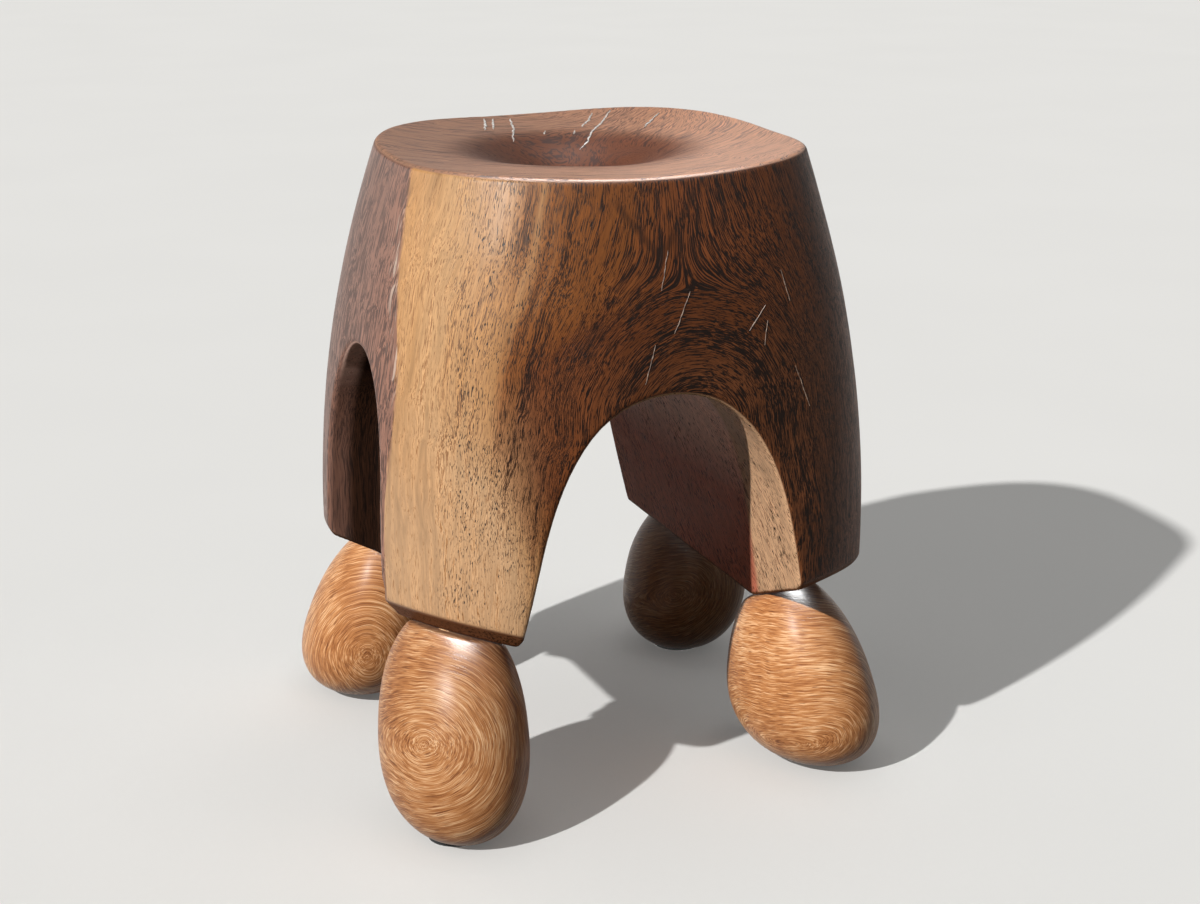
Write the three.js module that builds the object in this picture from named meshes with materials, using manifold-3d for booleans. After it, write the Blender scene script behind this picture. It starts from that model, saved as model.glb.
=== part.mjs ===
// A carved hardwood stool: a barrel-sided block with a dished seat, an arch cut right through from front to
// back and a blind niche in each side, standing on four egg-shaped feet that are pegged to its legs.
// Millimetres, +Z up. The origin is on the floor under the middle of the whole stool, +X is to the right for
// someone who looks at the front, and +Y points to the back. Places are measured from the middle of the body,
// which stands a little off the origin because the eggs don't reach out evenly.

import * as THREE from "three";
import { mergeVertices } from "three/addons/utils/BufferGeometryUtils.js";
import Module from "manifold-3d";

const wasm = await Module();
wasm.setup();

// Where the body's middle stands
const bodyMiddleX = 6;
const bodyMiddleY = -3;

// Body
const widestHalfWidth = 188.5; // half the body's width where the barrel is fullest
const widestHeight = 180; // height of the fullest part above the floor
const barrelRadius = 830; // radius of the side's curve, seen from the front
const planExponent = 2.6; // 2 would make the plan round, more makes it squarer
const rimHeight = 446; // middle of each rim side above the floor
const rimRounding = 4; // small radius along the rim's edge
const undersideHeight = 118; // lowest part of the legs
const undersideRounding = 6; // small radius round the foot of the sides

// Rim and seat dish
const rimCornerRise = 3; // the rim's corners stand higher than its sides
const rimBackRise = 2; // the rim climbs this much from the middle to the back
const rimRightRise = 1.8; // and this much from the middle to the right
const rimRiseStart = 380; // the sides below this height don't follow the rim's rise
const lipFall = 5; // the broad lip falls this much from the rim to the middle
const bowlDepth = 21; // and the bowl goes this much deeper
const bowlRadius = 88;
const bowlCentreX = -10; // the bowl is a little left of the middle
const bowlCentreY = 2;

// Arch from front to back
const archCentreX = -7; // a little left of the middle
const archSwing = 1.2; // degrees by which the arch bears right on its way to the back
const archBaseHalfWidth = 105; // at the underside
const archShoulderHalfWidth = 90.5; // where the flanks turn into the crown
const archShoulderHeight = 190;
const archApexHeight = 304.5;

// Blind niche in each side
const nicheBaseHalfWidth = 59;
const nicheShoulderHalfWidth = 55;
const nicheShoulderHeight = 225;
const nicheApexHeight = 317;
const nicheCentreY = -14;
const nicheBackX = 142; // the niche's back wall, out from the middle

// Crown of the arch and the niches
const crownPullUp = 0.58; // share of its rise that the crown carries on in line with the flank
const crownPullAcross = 0.6; // and how flat it is at its top, as a share of its half-width

// Pegs and pads
const fitGap = 0.3; // left between pieces that touch
const dowelRadius = 8;
const dowelDepth = 28; // into the leg, and into the egg
const padRadius = 19;
const padThickness = 3;
const eggFlatDepth = 4.5; // what the flat under an egg takes off its lower end
const eggProfileExponent = 2.3; // 2 would make the egg's side an ellipse

// The tilted underside of each leg rises outward from here
const tiltStartX = 100;
const tiltStartY = 75;
const frontTiltEnd = -30; // the front legs' undersides reach this far back
const backTiltEnd = -75; // and the back legs' carry on this far forward, under the side walls

// Each foot was carved by hand, so each has its own sizes. sideX and sideY say which leg it is under.
// legTilt is the slope of that leg's underside in degrees, and tiltHeading is the way it rises, from 0 for
// sideways to 90 for forwards or backwards. The insets are measured inward from the body's widest part: the
// floor insets give where the egg stands, and the seat insets where it meets the leg. pegInset is how much
// further in its peg stands, both ways, where the leg's side would be too thin around it. tipCut is what the
// leg's underside takes off the egg's upper end. turn swings the egg about its upright axis in degrees, and
// taper makes its upper end slimmer.
const feet = [
  {
    name: "front_left",
    sideX: -1,
    sideY: -1,
    legTilt: 18.7,
    tiltHeading: 28,
    floorInsetX: 34.5,
    floorInsetY: 46.5,
    seatInsetX: 43.5,
    seatInsetY: 78.5,
    pegInset: 0,
    halfWidth: 47,
    halfDepth: 62,
    tipCut: 15,
    turn: 13,
    taper: 0.1,
  },
  {
    name: "front_right",
    sideX: 1,
    sideY: -1,
    legTilt: 24.5,
    tiltHeading: 61,
    floorInsetX: 56,
    floorInsetY: 80.5,
    seatInsetX: 73.5,
    seatInsetY: 84.5,
    pegInset: 0,
    halfWidth: 46,
    halfDepth: 63,
    tipCut: 8,
    turn: 11,
    taper: 0.27,
  },
  {
    name: "back_left",
    sideX: -1,
    sideY: 1,
    legTilt: 28,
    tiltHeading: 0,
    floorInsetX: 50.5,
    floorInsetY: 40.5,
    seatInsetX: 64.5,
    seatInsetY: 68.5,
    pegInset: 0,
    halfWidth: 47,
    halfDepth: 55,
    tipCut: 8,
    turn: -5,
    taper: 0.3,
  },
  {
    name: "back_right",
    sideX: 1,
    sideY: 1,
    legTilt: 1,
    tiltHeading: 45,
    floorInsetX: 53.5,
    floorInsetY: 48.5,
    seatInsetX: 43.5,
    seatInsetY: 58.5,
    pegInset: 8,
    halfWidth: 48,
    halfDepth: 54,
    tipCut: 10,
    turn: 11,
    taper: 0.1,
  },
];

for (const foot of feet) {
  foot.floorX = foot.sideX * (widestHalfWidth - foot.floorInsetX);
  foot.floorY = foot.sideY * (widestHalfWidth - foot.floorInsetY);
  foot.seatX = foot.sideX * (widestHalfWidth - foot.seatInsetX);
  foot.seatY = foot.sideY * (widestHalfWidth - foot.seatInsetY);
}

// How finely the curved faces are divided
const bodySegments = 60;
const barrelSteps = 11;
const dishSteps = 9;
const roundingSteps = 2;
const archCurveSteps = 10;
const eggSegments = 30;
const eggSteps = 14;
const dowelSegments = 16;
const padSegments = 32;

// Length by which a cutting shape runs past what it cuts
const cutOverrun = 40;

// Corners closer than this are one corner, and heights closer than the other are level
const cornerMerge = 1e-4;
const levelMerge = 0.01;

// Finishes
const oiledHeartwood = new THREE.MeshStandardMaterial({ color: 0x6b3d22, roughness: 0.5, metalness: 0 });
const oiledRootwood = new THREE.MeshStandardMaterial({ color: 0xb06d3d, roughness: 0.45, metalness: 0 });
const rawPegwood = new THREE.MeshStandardMaterial({ color: 0xc9a777, roughness: 0.7, metalness: 0 });
const blackRubber = new THREE.MeshStandardMaterial({ color: 0x161616, roughness: 0.85, metalness: 0 });

// A closed geometry as a solid that can be cut and joined.
function solidFrom(geometry) {
  const bare = geometry.clone();
  bare.deleteAttribute("normal");
  bare.deleteAttribute("uv");
  const merged = mergeVertices(bare, cornerMerge);
  return new wasm.Manifold(
    new wasm.Mesh({
      numProp: 3,
      vertProperties: new Float32Array(merged.attributes.position.array),
      triVerts: new Uint32Array(merged.index.array),
    }),
  );
}

// A solid as a named mesh.
function meshFrom(solid, name, material) {
  const { vertProperties, triVerts } = solid.getMesh();
  const geometry = new THREE.BufferGeometry();
  geometry.setAttribute("position", new THREE.BufferAttribute(vertProperties, 3));
  geometry.setIndex(new THREE.BufferAttribute(triVerts, 1));
  geometry.computeVertexNormals();
  const mesh = new THREE.Mesh(geometry, material);
  mesh.name = name;
  return mesh;
}

// Moves every vertex of a geometry with one function.
function reshape(geometry, move) {
  const position = geometry.attributes.position;
  const point = new THREE.Vector3();
  for (let i = 0; i < position.count; i++) {
    point.fromBufferAttribute(position, i);
    move(point);
    position.setXYZ(i, point.x, point.y, point.z);
  }
  return geometry;
}

// Half-width of the body at a height, on its flat side.
function halfWidthAt(height) {
  return widestHalfWidth - barrelRadius + Math.sqrt(barrelRadius ** 2 - (height - widestHeight) ** 2);
}

// How far the rounded-square plan reaches in a direction, for a half-width of 1.
function planReach(angle) {
  const across = Math.abs(Math.cos(angle)) ** planExponent;
  const along = Math.abs(Math.sin(angle)) ** planExponent;
  return (across + along) ** (-1 / planExponent);
}

// How far the rim stands above its nominal height, for a place given as a share of the half-width.
function rimRise(shareX, shareY, angle) {
  return rimRightRise * shareX + rimBackRise * shareY + rimCornerRise * Math.sin(2 * angle) ** 2;
}

// Depth of the seat dish at a place: a lip that falls gently all the way in, and a round bowl.
function dishAt(x, y) {
  const edge = (halfWidthAt(rimHeight) - rimRounding) * planReach(Math.atan2(y, x));
  const share = Math.min(1, Math.hypot(x, y) / edge);
  const bowlShare = Math.min(1, Math.hypot(x - bowlCentreX, y - bowlCentreY) / bowlRadius);
  return lipFall * (1 - share ** 2) + bowlDepth * Math.cos((bowlShare * Math.PI) / 2) ** 2;
}

// The body before the arch, the niches and the legs are cut.
function bodyBlock() {
  const seatHalfWidth = halfWidthAt(rimHeight) - rimRounding;
  const profile = [new THREE.Vector2(0, undersideHeight)];
  for (let i = 0; i <= roundingSteps; i++) {
    const turn = (i / roundingSteps) * (Math.PI / 2);
    const height = undersideHeight + undersideRounding * (1 - Math.cos(turn));
    const inset = undersideRounding * (1 - Math.sin(turn));
    profile.push(new THREE.Vector2(halfWidthAt(height) - inset, height));
  }
  const barrelBottom = undersideHeight + undersideRounding;
  const barrelTop = rimHeight - rimRounding;
  for (let i = 1; i < barrelSteps; i++) {
    const height = barrelBottom + ((barrelTop - barrelBottom) * i) / barrelSteps;
    profile.push(new THREE.Vector2(halfWidthAt(height), height));
  }
  for (let i = 0; i <= roundingSteps; i++) {
    const turn = (i / roundingSteps) * (Math.PI / 2);
    const height = barrelTop + rimRounding * Math.sin(turn);
    const inset = rimRounding * (1 - Math.cos(turn));
    profile.push(new THREE.Vector2(halfWidthAt(height) - inset, height));
  }
  for (let i = dishSteps - 1; i >= 0; i--) {
    profile.push(new THREE.Vector2((seatHalfWidth * i) / dishSteps, rimHeight));
  }
  const block = new THREE.LatheGeometry(profile, bodySegments).rotateX(Math.PI / 2);
  return reshape(block, (point) => {
    const angle = Math.atan2(point.y, point.x);
    const share = Math.hypot(point.x, point.y) / halfWidthAt(rimHeight);
    const reach = planReach(angle);
    point.x *= reach;
    point.y *= reach;
    const follow = THREE.MathUtils.clamp((point.z - rimRiseStart) / (rimHeight - rimRiseStart), 0, 1);
    const onTop = point.z > rimHeight - levelMerge;
    const inward = onTop ? Math.min(1, share) : 1;
    const rise = rimRise(Math.cos(angle) * inward * reach, Math.sin(angle) * inward * reach, angle);
    point.z += follow ** 2 * (onTop ? inward ** 2 : 1) * rise;
    if (onTop) point.z -= dishAt(point.x, point.y);
  });
}

// A prism with an arched outline that stands on the underside. It runs along +Z before it is turned.
function archPrism(baseHalfWidth, shoulderHalfWidth, shoulderHeight, apexHeight, length) {
  const flankRun = baseHalfWidth - shoulderHalfWidth;
  const flankRise = shoulderHeight - undersideHeight;
  const crownRise = apexHeight - shoulderHeight;
  const pullUp = crownPullUp * crownRise;
  const pullAcross = crownPullAcross * shoulderHalfWidth;
  const leanIn = (flankRun / flankRise) * pullUp;
  const outline = new THREE.Shape();
  outline.moveTo(-baseHalfWidth, undersideHeight - cutOverrun);
  outline.lineTo(-baseHalfWidth, undersideHeight);
  outline.lineTo(-shoulderHalfWidth, shoulderHeight);
  outline.bezierCurveTo(
    -shoulderHalfWidth + leanIn,
    shoulderHeight + pullUp,
    -pullAcross,
    apexHeight,
    0,
    apexHeight,
  );
  outline.bezierCurveTo(
    pullAcross,
    apexHeight,
    shoulderHalfWidth - leanIn,
    shoulderHeight + pullUp,
    shoulderHalfWidth,
    shoulderHeight,
  );
  outline.lineTo(baseHalfWidth, undersideHeight);
  outline.lineTo(baseHalfWidth, undersideHeight - cutOverrun);
  return new THREE.ExtrudeGeometry(outline, {
    depth: length,
    bevelEnabled: false,
    curveSegments: archCurveSteps,
  });
}

// The arch that goes right through the body, along Y.
function throughArch() {
  const length = 2 * (widestHalfWidth + cutOverrun);
  return archPrism(archBaseHalfWidth, archShoulderHalfWidth, archShoulderHeight, archApexHeight, length)
    .translate(0, 0, -length / 2)
    .rotateX(Math.PI / 2)
    .rotateZ(-THREE.MathUtils.degToRad(archSwing))
    .translate(archCentreX, 0, 0);
}

// The blind niche in the left side (side -1) or the right side (side 1).
function sideNiche(side) {
  const length = widestHalfWidth + cutOverrun - nicheBackX;
  const middle = side * (nicheBackX + length / 2);
  return archPrism(nicheBaseHalfWidth, nicheShoulderHalfWidth, nicheShoulderHeight, nicheApexHeight, length)
    .translate(0, 0, -length / 2)
    .rotateX(Math.PI / 2)
    .rotateZ(Math.PI / 2)
    .translate(middle, nicheCentreY, 0);
}

// The level direction in which a leg's underside rises.
function riseDirection(foot) {
  const heading = THREE.MathUtils.degToRad(foot.tiltHeading);
  return new THREE.Vector3(foot.sideX * Math.cos(heading), foot.sideY * Math.sin(heading), 0);
}

// Height of a leg's tilted underside at a place.
function legUndersideAt(foot, x, y) {
  const start = new THREE.Vector3(foot.sideX * tiltStartX, foot.sideY * tiltStartY, 0);
  const out = new THREE.Vector3(x, y, 0).sub(start).dot(riseDirection(foot));
  return undersideHeight + out * Math.tan(THREE.MathUtils.degToRad(foot.legTilt));
}

// The frame of the joint between a leg and its egg: its origin is on the leg's underside over the egg's top,
// and its Z axis is square to that underside and points up into the leg.
function seatFrame(foot) {
  const tilt = THREE.MathUtils.degToRad(foot.legTilt);
  const outward = riseDirection(foot);
  const up = new THREE.Vector3(0, 0, Math.cos(tilt)).addScaledVector(outward, -Math.sin(tilt));
  const along = new THREE.Vector3(-outward.y, outward.x, 0);
  const across = new THREE.Vector3().crossVectors(along, up);
  const origin = new THREE.Vector3(foot.seatX, foot.seatY, legUndersideAt(foot, foot.seatX, foot.seatY));
  return new THREE.Matrix4().makeBasis(across, along, up).setPosition(origin);
}

// A plain box from one height to another in the frame of a joint, wide enough to cover its side wall.
function seatSlab(foot, bottom, top) {
  const width = 4 * widestHalfWidth;
  return new THREE.BoxGeometry(width, width, top - bottom)
    .translate(0, 0, (bottom + top) / 2)
    .applyMatrix4(seatFrame(foot));
}

// An upright peg, or the hole for one, half in the leg and half in the egg.
function peg(foot, radius, halfLength) {
  const x = foot.seatX - foot.sideX * foot.pegInset;
  const y = foot.seatY - foot.sideY * foot.pegInset;
  return new THREE.CylinderGeometry(radius, radius, 2 * halfLength, dowelSegments)
    .rotateX(Math.PI / 2)
    .translate(x, y, legUndersideAt(foot, x, y));
}

function pegHole(foot) {
  return solidFrom(peg(foot, dowelRadius + fitGap, dowelDepth + fitGap));
}

// The block that a leg's tilted underside is cut in.
function legCorner(foot) {
  const width = 2 * widestHalfWidth;
  const tiltEnd = foot.sideY < 0 ? frontTiltEnd : backTiltEnd;
  return new THREE.BoxGeometry(width, width, rimHeight).translate(
    foot.sideX * (width / 2),
    tiltEnd + foot.sideY * (width / 2),
    rimHeight / 2,
  );
}

function carvedBody() {
  let body = solidFrom(bodyBlock())
    .subtract(solidFrom(throughArch()))
    .subtract(solidFrom(sideNiche(-1)))
    .subtract(solidFrom(sideNiche(1)));
  for (const foot of feet) {
    const below = solidFrom(seatSlab(foot, -2 * undersideHeight, 0)).intersect(solidFrom(legCorner(foot)));
    body = body.subtract(below).subtract(pegHole(foot));
  }
  return meshFrom(body, "carved_body", oiledHeartwood);
}

// One egg, before its ends are cut flat: a turned profile, widened to an oval, swung round and leant so
// that its lower end stands over its pad and its upper end under the peg.
function wholeEgg(foot) {
  const seatHeight = legUndersideAt(foot, foot.seatX, foot.seatY);
  const bottom = padThickness + fitGap - eggFlatDepth;
  const top = seatHeight + foot.tipCut;
  const halfHeight = (top - bottom) / 2;
  const profile = [];
  for (let i = 0; i <= eggSteps; i++) {
    const turn = (i / eggSteps) * Math.PI - Math.PI / 2;
    const share = Math.sign(Math.sin(turn)) * Math.abs(Math.sin(turn)) ** (2 / eggProfileExponent);
    const girth = Math.abs(Math.cos(turn)) ** (2 / eggProfileExponent) * (1 - foot.taper * share);
    const onAxis = i === 0 || i === eggSteps;
    profile.push(new THREE.Vector2(onAxis ? 0 : girth, share));
  }
  const egg = new THREE.LatheGeometry(profile, eggSegments)
    .rotateX(Math.PI / 2)
    .scale(foot.halfWidth, foot.halfDepth, halfHeight)
    .rotateZ(THREE.MathUtils.degToRad(foot.turn));
  const middle = (top + bottom) / 2;
  return reshape(egg, (point) => {
    const share = (point.z + halfHeight) / (2 * halfHeight);
    point.x += THREE.MathUtils.lerp(foot.floorX, foot.seatX, share);
    point.y += THREE.MathUtils.lerp(foot.floorY, foot.seatY, share);
    point.z += middle;
  });
}

function eggFoot(foot) {
  const width = 2 * widestHalfWidth;
  const floorSlab = new THREE.BoxGeometry(width, width, width).translate(
    foot.floorX,
    foot.floorY,
    padThickness + fitGap - width / 2,
  );
  const egg = solidFrom(wholeEgg(foot))
    .subtract(solidFrom(floorSlab))
    .subtract(solidFrom(seatSlab(foot, -fitGap, undersideHeight)))
    .subtract(pegHole(foot));
  return meshFrom(egg, `egg_foot_${foot.name}`, oiledRootwood);
}

function dowel(foot) {
  return meshFrom(solidFrom(peg(foot, dowelRadius, dowelDepth)), `dowel_${foot.name}`, rawPegwood);
}

function glidePad(foot) {
  const disc = new THREE.CylinderGeometry(padRadius, padRadius, padThickness, padSegments).rotateX(Math.PI / 2);
  const pad = new THREE.Mesh(disc, blackRubber);
  pad.name = `glide_pad_${foot.name}`;
  pad.position.set(foot.floorX, foot.floorY, padThickness / 2);
  return pad;
}

const stool = new THREE.Group();
stool.position.set(bodyMiddleX, bodyMiddleY, 0);
stool.add(carvedBody());
for (const foot of feet) {
  const leg = new THREE.Group();
  leg.add(eggFoot(foot), dowel(foot), glidePad(foot));
  stool.add(leg);
}

export default stool;
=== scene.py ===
# Dresses a carved wooden stool for rendering: the hollowed hardwood block with its dished seat, the four egg
# feet pegged to its legs, and the thin pads under them, on a pale floor in low sun.

import math
import bmesh
import bpy
import numpy as np
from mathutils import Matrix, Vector, noise


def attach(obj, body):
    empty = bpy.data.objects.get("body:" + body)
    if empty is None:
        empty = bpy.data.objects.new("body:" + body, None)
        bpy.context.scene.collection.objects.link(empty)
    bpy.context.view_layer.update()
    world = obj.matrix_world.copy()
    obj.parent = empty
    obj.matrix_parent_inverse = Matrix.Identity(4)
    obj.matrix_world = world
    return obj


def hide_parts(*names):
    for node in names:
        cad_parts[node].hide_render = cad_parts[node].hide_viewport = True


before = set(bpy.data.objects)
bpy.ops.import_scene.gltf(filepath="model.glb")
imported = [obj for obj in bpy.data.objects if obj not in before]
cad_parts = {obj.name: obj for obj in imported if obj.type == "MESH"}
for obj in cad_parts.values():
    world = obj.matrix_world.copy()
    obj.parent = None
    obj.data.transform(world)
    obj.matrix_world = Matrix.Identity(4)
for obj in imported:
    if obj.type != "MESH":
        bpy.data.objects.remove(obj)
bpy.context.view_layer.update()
print("frame loaded")

mm = 0.001  # the frame is in metres, the sizes below are in millimetres


# Small helpers for materials

def linearColour(hexColour):  # sRGB hex to the linear values that a colour socket takes
    channels = [int(hexColour[i:i + 2], 16) / 255 for i in (1, 3, 5)]
    return [c / 12.92 if c <= 0.04045 else ((c + 0.055) / 1.055) ** 2.4 for c in channels] + [1]


smoothStep = {"interpolation_type": "SMOOTHSTEP"}  # settings that many nodes share
colourMix = {"data_type": "RGBA"}
vectorMix = {"data_type": "VECTOR"}


def addNode(tree, kind, settings=None, inputs=None, out=0):
    # One node, set and linked, that gives back a socket. Settings in one word are its operation. Inputs in a
    # list fill its first sockets in order: a Map Range node's are its value, its range and what that gives.
    node = tree.nodes.new("ShaderNode" + kind)
    if isinstance(settings, str):
        settings = {"operation": settings}
    for name, value in (settings or {}).items():
        if name == "stops":
            ramp = node.color_ramp
            while len(ramp.elements) < len(value):
                ramp.elements.new(0.5)
            for element, (place, colour) in zip(ramp.elements, value):
                element.position = place
                element.color = linearColour(colour)
        else:
            setattr(node, name, value)
    if isinstance(inputs, list):
        inputs = dict(enumerate(inputs))
    for name, value in (inputs or {}).items():
        if isinstance(value, bpy.types.NodeSocket):
            tree.links.new(value, node.inputs[name])
        else:
            node.inputs[name].default_value = linearColour(value) if isinstance(value, str) else value
    return node.outputs[out] if node.outputs else None


def coat(tree, colour, roughness, height, relief, more=None):  # what the stool's materials end in, relief in mm
    strength, depth = relief
    bump = addNode(tree, "Bump", None, {"Strength": strength, "Distance": depth * mm, "Height": height})
    inputs = {"Base Color": colour, "Roughness": roughness, "Normal": bump, **(more or {})}
    shader = addNode(tree, "BsdfPrincipled", None, inputs)
    addNode(tree, "OutputMaterial", None, {"Surface": shader})


def seenByCamera(tree):  # 1 on what a camera sees, also through glass or in a shine, and 0 for thrown light
    rays = addNode(tree, "LightPath", out="Is Camera Ray").node.outputs
    seen = addNode(tree, "Math", "MAXIMUM", [rays["Is Camera Ray"], rays["Is Transmission Ray"]])
    return addNode(tree, "Math", "MAXIMUM", [seen, rays["Is Glossy Ray"]])


def objectPlace(tree):
    return addNode(tree, "TexCoord", out="Object")


def distance(tree, place, centre, axes):  # how far a place is from a centre, along some axes only
    off = addNode(tree, "VectorMath", "SUBTRACT", [place, centre])
    off = addNode(tree, "VectorMath", "MULTIPLY", [off, axes])
    return addNode(tree, "VectorMath", "LENGTH", [off], "Value")


def apart(tree, value, middle):  # how far a value is from another, either way
    off = addNode(tree, "Math", "SUBTRACT", [value, middle])
    return addNode(tree, "Math", "ABSOLUTE", [off])


def newMaterial(name):
    material = bpy.data.materials.new(name)
    material.use_nodes = True
    material.node_tree.nodes.clear()
    return material, material.node_tree


def placed(name, data):  # an object in the scene
    thing = bpy.data.objects.new(name, data)
    bpy.context.scene.collection.objects.link(thing)
    return thing


def dress(piece, material):
    piece.data.materials.clear()
    piece.data.materials.append(material)


# Shapes as fields: negative inside, zero on the surface, in millimetres from the body's middle

bodyShape = {
    "middle": (6, -3, 0),  # where the body's middle stands on the floor
    "widestHalfWidth": 188.5,
    "widestHeight": 180,
    "barrelRadius": 830,
    "planExponent": 2.6,
    "rimHeight": 446,
    "undersideHeight": 118,
    "rimCornerRise": 3,
    "rimBackRise": 2,
    "rimRightRise": 1.8,
    "rimRiseStart": 380,
    "lipFall": 5,
    "lipInset": 4,
    "bowlDepth": 21,
    "bowlRadius": 88,
    "bowlCentre": (-10, 2),
    "arch": {"baseHalfWidth": 105, "shoulderHalfWidth": 90.5, "shoulderHeight": 190, "apexHeight": 304.5},
    "archCentreX": -7,
    "archSwing": 1.2,  # degrees
    "niche": {"baseHalfWidth": 59, "shoulderHalfWidth": 55, "shoulderHeight": 225, "apexHeight": 317},
    "nicheCentreY": -14,
    "nicheBackX": 142,
    "crownSteps": 16,
    "footDrop": 40,  # how far the arches' flanks go on below the underside
    "crownPull": (0.6, 0.58),  # how far the crown keeps level at its top and in line with the flank below
    "tiltStart": (100, 75),
    "tiltEnd": {-1: -30, 1: -75},  # how far along the stool the front and the back legs' undersides reach
    "voxel": 2,
    "rimSoftness": 3.5,
    "undersideSoftness": 5,
    "archSoftness": 5,
    "nicheSoftness": 4,
    "nicheCorner": 9,
    "legSoftness": 2,
    "bevelSoftness": 1.5,
    "handWork": ((70, 0.5), (24, 0.22)),  # length and depth of the unevenness that the carver's tools left
}

feet = {
    # side of the stool, the slope of the leg's underside and its heading, its bevel, where the egg stands
    # and meets the leg, then the egg's half widths, how much of its tip is cut off, its turn and its taper
    "front_left": {"side": (-1, -1), "tilt": 18.7, "heading": 28, "bevel": 9, "floor": (-154, -142),
                   "seat": (-145, -110), "half": (47, 62), "tipCut": 15, "turn": 13, "taper": 0.1},
    "front_right": {"side": (1, -1), "tilt": 24.5, "heading": 61, "bevel": 4, "floor": (132.5, -108),
                    "seat": (115, -104), "half": (46, 63), "tipCut": 8, "turn": 11, "taper": 0.27},
    "back_left": {"side": (-1, 1), "tilt": 28, "heading": 0, "bevel": 4, "floor": (-138, 148),
                  "seat": (-124, 120), "half": (47, 55), "tipCut": 8, "turn": -5, "taper": 0.3},
    "back_right": {"side": (1, 1), "tilt": 1, "heading": 45, "bevel": 3, "floor": (135, 140),
                   "seat": (145, 130), "half": (48, 54), "tipCut": 10, "turn": 11, "taper": 0.1},
}

eggShape = {"profileExponent": 2.3, "flatHeight": 3.3, "flatDepth": 4.5, "seatGap": 0.3, "voxel": 1.6,
            "softness": 2, "handWork": ((40, 0.4), (15, 0.15))}


def meet(a, b, radius):  # what is inside both, with a rounded edge
    corner = np.hypot(np.maximum(a + radius, 0), np.maximum(b + radius, 0))
    return np.minimum(np.maximum(a, b), -radius) + corner


def halfWidthAt(height):
    shape = bodyShape
    radius = shape["barrelRadius"]
    return shape["widestHalfWidth"] - radius + np.sqrt(radius ** 2 - (height - shape["widestHeight"]) ** 2)


def archOutline(arch):  # from the foot of one flank up to the apex
    base, shoulder = arch["baseHalfWidth"], arch["shoulderHalfWidth"]
    low, high, apex = bodyShape["undersideHeight"], arch["shoulderHeight"], arch["apexHeight"]
    pullAcross, pullUp = bodyShape["crownPull"]
    up = pullUp * (apex - high)
    lean = (base - shoulder) / (high - low) * up
    corners = np.array([(shoulder, high), (shoulder - lean, high + up),
                        (pullAcross * shoulder, apex), (0, apex)])
    t = np.linspace(0, 1, bodyShape["crownSteps"] + 1)[:, None]
    crown = ((1 - t) ** 3 * corners[0] + 3 * t * (1 - t) ** 2 * corners[1]
             + 3 * t ** 2 * (1 - t) * corners[2] + t ** 3 * corners[3])
    return np.vstack([[(base, low - bodyShape["footDrop"]), (base, low)], crown])


def archField(across, height, outline):
    nearest = np.full(across.shape, 1e9)
    for start, end in zip(outline, outline[1:]):
        run = end - start
        share = ((across - start[0]) * run[0] + (height - start[1]) * run[1]) / (run @ run)
        share = np.clip(share, 0, 1)
        gap = np.hypot(across - start[0] - share * run[0], height - start[1] - share * run[1])
        nearest = np.minimum(nearest, gap)
    inside = height < np.interp(across, outline[::-1, 0], outline[::-1, 1])
    return np.where(inside, -nearest, nearest)


def legUndersideAt(foot, x, y):
    heading = math.radians(foot["heading"])
    startX, startY = bodyShape["tiltStart"]
    out = ((x - foot["side"][0] * startX) * foot["side"][0] * math.cos(heading)
           + (y - foot["side"][1] * startY) * foot["side"][1] * math.sin(heading))
    return bodyShape["undersideHeight"] + out * math.tan(math.radians(foot["tilt"]))


def bodyField(points):
    shape = bodyShape
    x, y, z = points.T
    exponent = shape["planExponent"]
    plan = (np.abs(x) ** exponent + np.abs(y) ** exponent) ** (1 / exponent)
    rim = halfWidthAt(shape["rimHeight"])
    inward = np.minimum(1, plan / rim)
    reach = np.maximum(plan, rim)
    rise = (shape["rimRightRise"] * x / reach + shape["rimBackRise"] * y / reach
            + shape["rimCornerRise"] * np.sin(2 * np.arctan2(y, x)) ** 2)
    bowlShare = np.hypot(x - shape["bowlCentre"][0], y - shape["bowlCentre"][1]) / shape["bowlRadius"]
    dish = (shape["lipFall"] * (1 - np.minimum(1, plan / (rim - shape["lipInset"])) ** 2)
            + shape["bowlDepth"] * np.cos(np.minimum(1, bowlShare) * math.pi / 2) ** 2)
    top = shape["rimHeight"] + inward ** 2 * rise - dish
    follow = np.clip((z - shape["rimRiseStart"]) / (shape["rimHeight"] - shape["rimRiseStart"]), 0, 1)
    body = meet(plan - halfWidthAt(z - follow ** 2 * rise), z - top, shape["rimSoftness"])
    body = meet(body, shape["undersideHeight"] - z, shape["undersideSoftness"])
    swing = math.radians(shape["archSwing"])
    across = (x - shape["archCentreX"]) * math.cos(swing) - y * math.sin(swing)
    body = meet(body, -archField(np.abs(across), z, archOutline(shape["arch"])), shape["archSoftness"])
    nicheOutline = archOutline(shape["niche"])
    for side in (-1, 1):
        niche = archField(np.abs(y - shape["nicheCentreY"]), z, nicheOutline)
        niche = meet(niche, shape["nicheBackX"] - side * x, shape["nicheCorner"])
        body = meet(body, -niche, shape["nicheSoftness"])
    for foot in feet.values():
        sideX, sideY = foot["side"]
        below = (z - legUndersideAt(foot, x, y)) * math.cos(math.radians(foot["tilt"]))
        corner = np.maximum(-sideX * x, -sideY * (y - shape["tiltEnd"][sideY]))
        body = meet(body, -np.maximum(below, corner), shape["legSoftness"])
        bevel = (plan - halfWidthAt(z) - below + foot["bevel"]) / math.sqrt(2)
        body = meet(body, np.minimum(bevel, -corner), shape["bevelSoftness"])
    return body


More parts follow.
